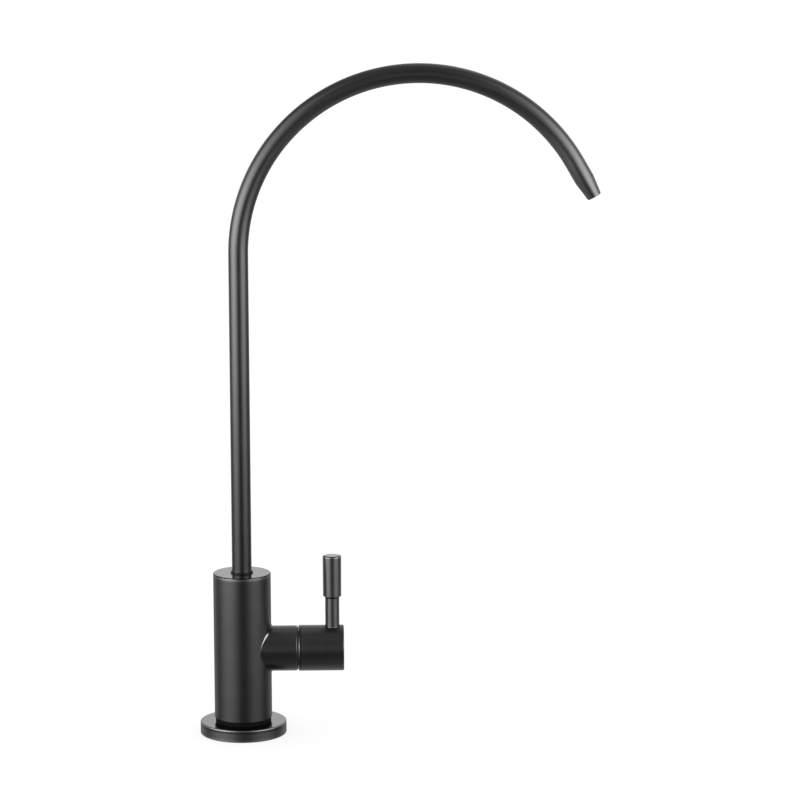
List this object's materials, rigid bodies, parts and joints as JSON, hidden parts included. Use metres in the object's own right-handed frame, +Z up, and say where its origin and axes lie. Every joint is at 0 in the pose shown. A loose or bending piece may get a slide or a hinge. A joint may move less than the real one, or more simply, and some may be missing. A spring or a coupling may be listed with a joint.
{
  "type": "drinking water filter tap",
  "caption": "Slim upright drinking water tap with a swivelling gooseneck spout, a round base and a quarter-turn side lever on a ceramic disc valve, clamped to a worktop by its threaded shank.",
  "frame": {"origin": "on the body's axis, at the worktop's surface, which is the underside of the base", "axes": "+Z up along the body; +X along the boss, towards the lever and the spout at rest"},
  "size_m": [0.2085, 0.045, 0.4025],
  "materials": {
    "graphite_finish": "satin graphite black, fine turned grain",
    "black_rubber": "matt moulded rubber",
    "black_nylon": "moulded nylon",
    "turned_brass": "turned brass",
    "stainless_steel": "pressed stainless steel",
    "dark_steel": "black oxide steel",
    "white_ceramic": "lapped ceramic",
    "slip_plastic": "low friction plastic"
  },
  "bodies": {
    "tap_body": {"base_plate": "graphite_finish", "base_gasket": "black_rubber", "foot_ring": "black_rubber", "valve_body": "graphite_finish", "shank": "turned_brass", "shank_seal": "black_rubber", "rubber_washer": "black_rubber", "steel_washer": "stainless_steel", "lock_nut": "turned_brass", "spout_bush": "black_nylon", "spout_clip": "stainless_steel", "cartridge_housing": "turned_brass", "cartridge_seal": "black_rubber", "fixed_disc": "white_ceramic", "seat_seal": "black_rubber", "slip_washer": "slip_plastic"},
    "spout": {"spout_tube": "graphite_finish", "spout_spigot": "turned_brass", "spout_seals": "black_rubber"},
    "lever": {"lever_hub": "graphite_finish", "lever_stem": "graphite_finish", "lever_grip": "graphite_finish", "grub_screw": "dark_steel", "spindle": "turned_brass", "spindle_seals": "black_rubber", "spindle_clip": "stainless_steel", "moving_disc": "white_ceramic"}
  },
  "joints": [
    {"name": "spout_swivel", "type": "hinge", "parent": "tap_body", "child": "spout", "pos_m": [0, 0, 0.087], "axis": [0, 0, 1], "continuous": true},
    {"name": "lever_turn", "type": "hinge", "parent": "tap_body", "child": "lever", "pos_m": [0.0292, 0, 0.045], "axis": [1, 0, 0], "range_deg": [0, 90]}
  ]
}
